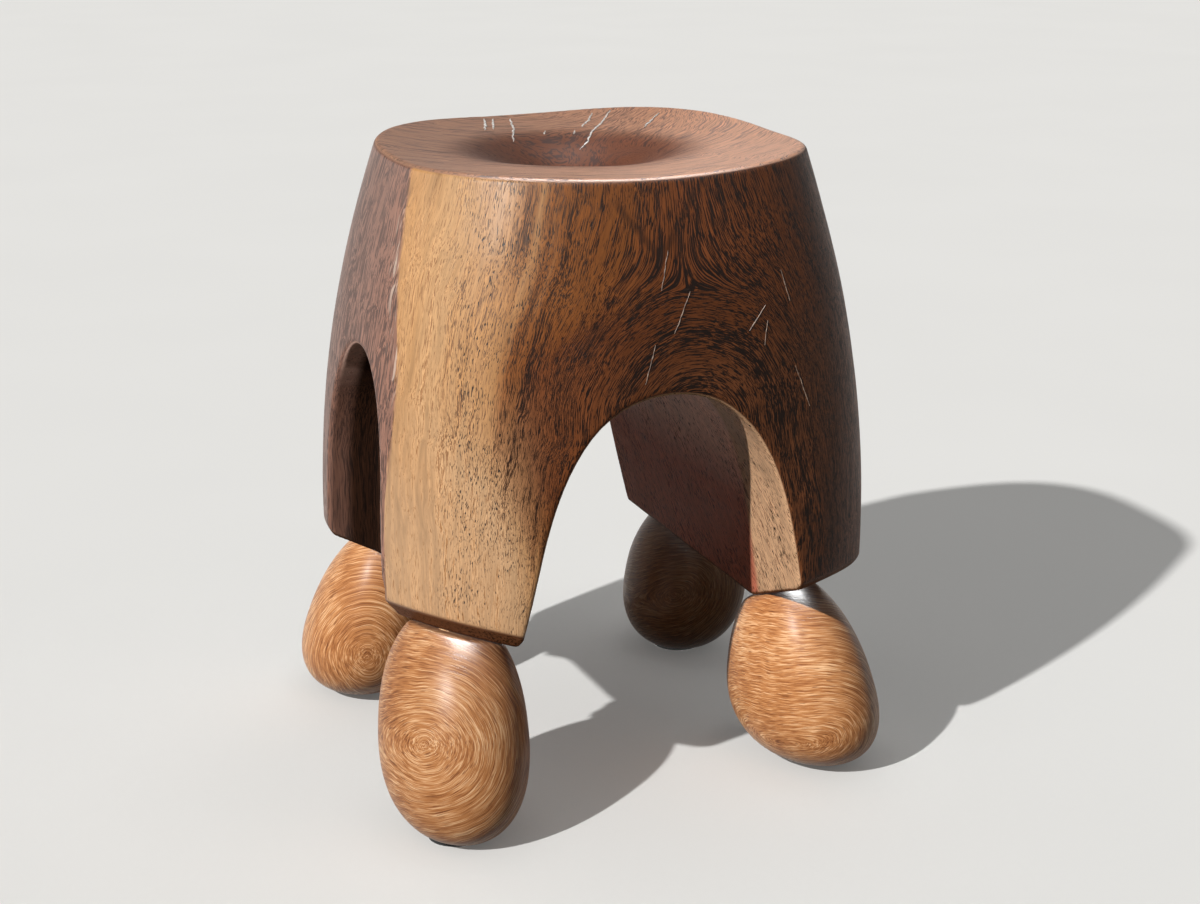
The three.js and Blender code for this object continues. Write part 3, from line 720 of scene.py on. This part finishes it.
def oiledRootwood(name, heart, lean, paintedLightGain):
    material, tree = newMaterial("oiledRootwood_" + name)
    wood = eggWood
    place = addNode(tree, "VectorMath", "SCALE", {0: objectPlace(tree), "Scale": 1 / mm})
    off = addNode(tree, "VectorMath", "SUBTRACT", [strayed(tree, place, wood["strays"]), heart])
    turn = (math.radians(lean[1]), 0, math.radians(lean[0]))
    turned = addNode(tree, "Mapping", None, {"Vector": off, "Rotation": turn})
    split = addNode(tree, "SeparateXYZ", None, [turned]).node.outputs
    spoke = addNode(tree, "CombineXYZ", None, {0: split["X"], 2: split["Z"]})
    radius = addNode(tree, "VectorMath", "LENGTH", [spoke], "Value")
    heading = addNode(tree, "VectorMath", "NORMALIZE", [spoke])
    dashes = addNode(tree, "VectorMath", "SCALE", {0: heading, "Scale": wood["dashes"]})
    radiusSteps = addNode(tree, "Math", "DIVIDE", [radius, wood["ring"]])
    deep = addNode(tree, "Math", "DIVIDE", [split["Y"], wood["ringDepth"]])
    ringPlace = addNode(tree, "CombineXYZ", None, [radiusSteps, deep])
    ringPlace = addNode(tree, "VectorMath", "ADD", [ringPlace, dashes])
    rings = addNode(tree, "TexNoise", None,
                    {"Vector": ringPlace, "Scale": 1.0, "Detail": 3.0, "Roughness": 0.6})
    yearPlace = addNode(tree, "VectorMath", "MULTIPLY", [ringPlace, wood["years"]["scale"]])
    years = addNode(tree, "TexNoise", None, {"Vector": yearPlace, "Scale": 1.0, "Detail": 2.0})
    porePlace = addNode(tree, "VectorMath", "MULTIPLY", [ringPlace, wood["pores"]["scale"]])
    pores = addNode(tree, "TexNoise", None, {"Vector": porePlace, "Scale": 1.0, "Detail": 0.0})
    pores = addNode(tree, "MapRange", smoothStep, [pores, *wood["pores"]["open"]])
    blotch = addNode(tree, "TexNoise", None,
                     {"Vector": place, "Scale": 1 / wood["blotch"]["size"], "Detail": 3.0})
    figure = addNode(tree, "MapRange", None, [rings, *wood["rings"]])
    figure = addNode(tree, "Math", "MULTIPLY_ADD", [years, wood["years"]["share"], figure])
    figure = addNode(tree, "Math", {"operation": "MULTIPLY_ADD", "use_clamp": True},
                     [blotch, wood["blotch"]["share"], figure])
    colour = addNode(tree, "ValToRGB", {"stops": wood["tones"]}, [figure])
    poreShare = addNode(tree, "Math", "MULTIPLY", [pores, wood["pores"]["share"]])
    colour = addNode(tree, "Mix", colourMix, {0: poreShare, 6: colour, 7: wood["pores"]["colour"]}, 2)
    # painted light and shade: the sunlit front right and back left eggs are drawn lighter, the back right one
    # in the stool's shade darker
    colour = addNode(tree, "VectorMath", "SCALE", {0: colour, "Scale": paintedLightGain})
    relief = addNode(tree, "Math", "SUBTRACT", [rings, pores])
    coat(tree, colour, wood["roughness"], relief, wood["relief"],
         {"IOR": wood["ior"], "Specular IOR Level": wood["shine"]})
    return material


# Raw beech: pale turned pegs, straight fine grain, no finish

pegWood = {"fibre": (900, 900, 60), "tones": [(0.3, "#b58d5f"), (0.7, "#dcc09a")], "relief": (0.2, 0.1),
           "roughness": 0.65}


def rawBeech():
    material, tree = newMaterial("rawBeech")
    place = addNode(tree, "VectorMath", "MULTIPLY", [objectPlace(tree), pegWood["fibre"]])
    fibres = addNode(tree, "TexNoise", None, {"Vector": place, "Scale": 1.0, "Detail": 3.0})
    colour = addNode(tree, "ValToRGB", {"stops": pegWood["tones"]}, [fibres])
    coat(tree, colour, pegWood["roughness"], fibres, pegWood["relief"])
    return material


# Cut nitrile rubber: matt black sheet with a fine pebbled skin

padRubber = {"pebble": 0.8, "tones": [(0, "#0d0d0d"), (1, "#1c1b1a")], "relief": (0.3, 0.1), "roughness": 0.8}


def cutRubber():
    material, tree = newMaterial("cutNitrileRubber")
    scale = 1 / (padRubber["pebble"] * mm)
    pebbles = addNode(tree, "TexVoronoi", None, {"Vector": objectPlace(tree), "Scale": scale})
    colour = addNode(tree, "ValToRGB", {"stops": padRubber["tones"]}, [pebbles])
    coat(tree, colour, padRubber["roughness"], pebbles, padRubber["relief"])
    return material


# Pieces

body = finePiece("carved_block", "carved_body", bodyShape["voxel"], bodyField, bodyShape["handWork"], 0)
dress(body, oiledRaintree())
print("body done:", len(body.data.vertices), "vertices")

pegMaterial = rawBeech()
padMaterial = cutRubber()
for number, (name, foot) in enumerate(feet.items()):
    seed = 10 * number + 10
    egg = finePiece("egg_" + name, "egg_foot_" + name, eggShape["voxel"], eggField(foot),
                    eggShape["handWork"], seed)
    dress(egg, oiledRootwood(name, *eggWood["hearts"][name]))
    dress(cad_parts["dowel_" + name], pegMaterial)
    dress(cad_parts["glide_pad_" + name], padMaterial)
print("eggs done")


# Drying cracks in the dish, filled almost flush with pale resin, and dry scratches on the oiled front

marks = {
    "sink": 0.35,
    "proud": 0.15,
    "step": 1.5,
    "fewestSteps": 4,
    "halvings": 30,
    "probe": 0.2,
    "bend": {"length": 5, "seed": 7.3},
    "swell": {"length": 3, "seed": 3.1, "layer": 5, "least": 0.7, "more": 0.8},
    "point": 0.08,  # how much of the pointed ends is left off, as an angle
    "cracks": {  # seen from above; paleResinFilling shows as chalky, slightly shiny lines
        "width": 1.9, "wander": 1.3, "axis": 2, "start": 460, "end": 400,
        "tones": ("#6f5f55", "#dcd8d2"), "roughness": 0.3, "lines": [
            [(67, 123), (47, 91), (30, 68), (22, 55), (13, 47)], [(52, 123), (40, 101), (29, 86)],
            [(-32, 131), (-44, 93)], [(-25, 131), (-37, 96)], [(-12, 128), (-22, 94), (-33, 64)],
            [(96, 97), (69, 62)], [(-4, 77), (0, 84)], [(17, 71), (21, 78)]]},
    "scratches": {  # seen from the front; dryScratchedWood shows as dull, pale brown ticks
        "width": 0.6, "wander": 0.6, "axis": 1, "start": -200, "end": -100,
        "tones": ("#4a2f20", "#937a67"), "roughness": 0.7, "lines": [
            [(-7, 398), (-14, 373)], [(6, 371), (-7, 345)], [(-21, 339), (-30, 314)],
            [(62, 357), (48, 342)], [(84, 314), (95, 285)], [(77, 378), (83, 357)], [(63, 347), (59, 331)]]},
}


def dropped(points, axis, start, end):  # moves points along an axis until they meet the body's surface
    outside = points.copy()
    inside = points.copy()
    outside[:, axis] = start
    inside[:, axis] = end
    for _ in range(marks["halvings"]):
        middle = (outside + inside) / 2
        within = (bodyField(middle) < 0)[:, None]
        inside = np.where(within, middle, inside)
        outside = np.where(within, outside, middle)
    return inside


def inlay(name, mark):  # closed strips that follow lines over the body's surface
    corners, faces = [], []
    axis, probe = mark["axis"], marks["probe"]
    bend, swell = marks["bend"], marks["swell"]
    turns = ((-1, marks["proud"]), (1, marks["proud"]), (1, -marks["sink"]), (-1, -marks["sink"]))
    for number, line in enumerate(mark["lines"]):
        line = np.array(line, float)
        reach = np.concatenate([[0], np.cumsum(np.linalg.norm(np.diff(line, axis=0), axis=1))])
        steps = np.linspace(0, reach[-1], max(marks["fewestSteps"], int(reach[-1] / marks["step"])))
        path = np.zeros((len(steps), 3))
        path[:, 0] = np.interp(steps, reach, line[:, 0])
        path[:, 3 - axis] = np.interp(steps, reach, line[:, 1])
        bends = [noise.noise(Vector((step / bend["length"], number * bend["seed"], 0))) for step in steps]
        path[:, 0] += [mark["wander"] * value for value in bends]
        path = dropped(path, axis, mark["start"], mark["end"])
        here = bodyField(path)
        normal = np.stack([(bodyField(path + probe * unit) - here) / probe for unit in np.eye(3)], 1)
        normal /= np.linalg.norm(normal, axis=1, keepdims=True)
        side = np.cross(np.gradient(path, axis=0), normal)
        side /= np.linalg.norm(side, axis=1, keepdims=True)
        swells = [noise.noise(Vector((step / swell["length"], number * swell["seed"], swell["layer"])))
                  for step in steps]
        swells = [swell["least"] + swell["more"] * value for value in swells]
        point = np.sqrt(np.sin(np.linspace(marks["point"], math.pi - marks["point"], len(steps))))
        width = mark["width"] / 2 * np.array(swells) * point
        base = len(corners)
        for place, up, out, half in zip(path, normal, side, width):
            for turn, lift in turns:
                corners.append((place + out * turn * half + up * lift + bodyShape["middle"]) * mm)
        for ring in range(len(path) - 1):
            for corner in range(4):
                a = base + 4 * ring + corner
                b = base + 4 * ring + (corner + 1) % 4
                faces.append((a, b, b + 4, a + 4))
        last = base + 4 * (len(path) - 1)
        faces += [(base + 3, base + 2, base + 1, base), (last, last + 1, last + 2, last + 3)]
    mesh = bpy.data.meshes.new(name)
    mesh.from_pydata([tuple(corner) for corner in corners], [], faces)
    piece = placed(name, mesh)
    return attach(piece, "root")


grit = {"size": 2.5, "stops": (0.35, 0.6), "relief": (0.3, 0.1)}


def grainyFill(name, mark):
    material, tree = newMaterial(name)
    scale = 1 / (grit["size"] * mm)
    grains = addNode(tree, "TexNoise", None, {"Vector": objectPlace(tree), "Scale": scale, "Detail": 3.0})
    colour = addNode(tree, "ValToRGB", {"stops": list(zip(grit["stops"], mark["tones"]))}, [grains])
    coat(tree, colour, mark["roughness"], grains, grit["relief"])
    return material


dress(inlay("crack_fillings", marks["cracks"]), grainyFill("paleResinFilling", marks["cracks"]))
dress(inlay("dry_scratches", marks["scratches"]), grainyFill("dryScratchedWood", marks["scratches"]))
print("cracks and scratches done")


# Painted plaster floor: smooth, matt and almost white. A camera sees it glow a little, so the shadow stays a
# clean grey, and it throws less light back at the wood than it shows.

floorShape = {"halfSize": 12000, "paint": [(0.3, "#c5c4c1"), (0.7, "#c7c6c3")], "mottle": 3.0,
              "glow": 0.255, "glowColour": "#fffefb", "bounce": "#62615f",
              "occlusion": 0.35, "occlusionReach": 500, "occlusionSamples": 8}


def paintedFloor():
    material, tree = newMaterial("mattPaintedFloor")
    mottle = addNode(tree, "TexNoise", None,
                     {"Vector": objectPlace(tree), "Scale": floorShape["mottle"], "Detail": 2.0})
    paint = addNode(tree, "ValToRGB", {"stops": floorShape["paint"]}, [mottle])
    # the glow fades where the stool stands close over the floor: painted shade that deepens the shadow next to
    # it
    shaded = addNode(tree, "AmbientOcclusion", {"samples": floorShape["occlusionSamples"]},
                     {"Distance": floorShape["occlusionReach"] * mm}, "AO")
    glow = floorShape["glow"]
    glow = addNode(tree, "MapRange", None, [shaded, 0, 1, glow * floorShape["occlusion"], glow])
    glow = addNode(tree, "Emission", None, {"Color": floorShape["glowColour"], "Strength": glow})
    seen = addNode(tree, "BsdfDiffuse", None, {"Color": paint})
    seen = addNode(tree, "AddShader", None, [seen, glow])
    thrown = addNode(tree, "BsdfDiffuse", None, {"Color": floorShape["bounce"]})
    shader = addNode(tree, "MixShader", None, [seenByCamera(tree), thrown, seen])
    addNode(tree, "OutputMaterial", None, {"Surface": shader})
    return material


half = floorShape["halfSize"] * mm
floorMesh = bpy.data.meshes.new("floor")
floorCorners = [(-half, -half, 0), (half, -half, 0), (half, half, 0), (-half, half, 0)]
floorMesh.from_pydata(floorCorners, [], [(0, 1, 2, 3)])
floor = placed("floor", floorMesh)
dress(floor, paintedFloor())


# Light: a low sun from the left front, an even sky, and a soft box overhead that only shows in the polish.
# A camera sees a pale backdrop in place of the sky.

light = {"sunTravel": (1.268, 0.66, -1), "sunStrength": 4.7, "sunAngle": 1.2, "skyStrength": 0.06,
         "skyColour": "#fffefc", "backdropColour": "#e5e4e0",
         "boxPower": 450, "boxSize": 1.0, "boxPlace": (0, 0.1, 1.9)}

sun = placed("sun", bpy.data.lights.new("sun", "SUN"))
sun.data.energy = light["sunStrength"]
sun.data.angle = math.radians(light["sunAngle"])
sun.rotation_euler = Vector(light["sunTravel"]).to_track_quat("-Z", "Y").to_euler()

softBox = placed("softBox", bpy.data.lights.new("softBox", "AREA"))
softBox.data.energy = light["boxPower"]
softBox.data.size = light["boxSize"]
softBox.location = light["boxPlace"]
softBox.data.use_shadow = False
softBox.visible_diffuse = False

world = bpy.data.worlds.new("paleSky")
world.use_nodes = True
world.node_tree.nodes.clear()
skyTree = world.node_tree
sky = addNode(skyTree, "Background", None, {"Color": light["skyColour"], "Strength": light["skyStrength"]})
backdrop = addNode(skyTree, "Background", None, {"Color": light["backdropColour"]})
surface = addNode(skyTree, "MixShader", None, [seenByCamera(skyTree), sky, backdrop])
addNode(skyTree, "OutputWorld", None, {"Surface": surface})
bpy.context.scene.world = world


# Camera, standing where the photographer stood

view = {"place": (-0.6043, -1.5411, 0.697), "down": 0.282, "turn": -0.383, "lens": 70.26, "sensor": 36}
camera = placed("camera", bpy.data.cameras.new("camera"))
camera.location = view["place"]
camera.rotation_euler = (math.pi / 2 - view["down"], 0, view["turn"])
camera.data.lens = view["lens"]
camera.data.sensor_width = view["sensor"]
bpy.context.scene.camera = camera
bpy.context.scene.view_settings.view_transform = "Standard"
print("stage, light and camera done")
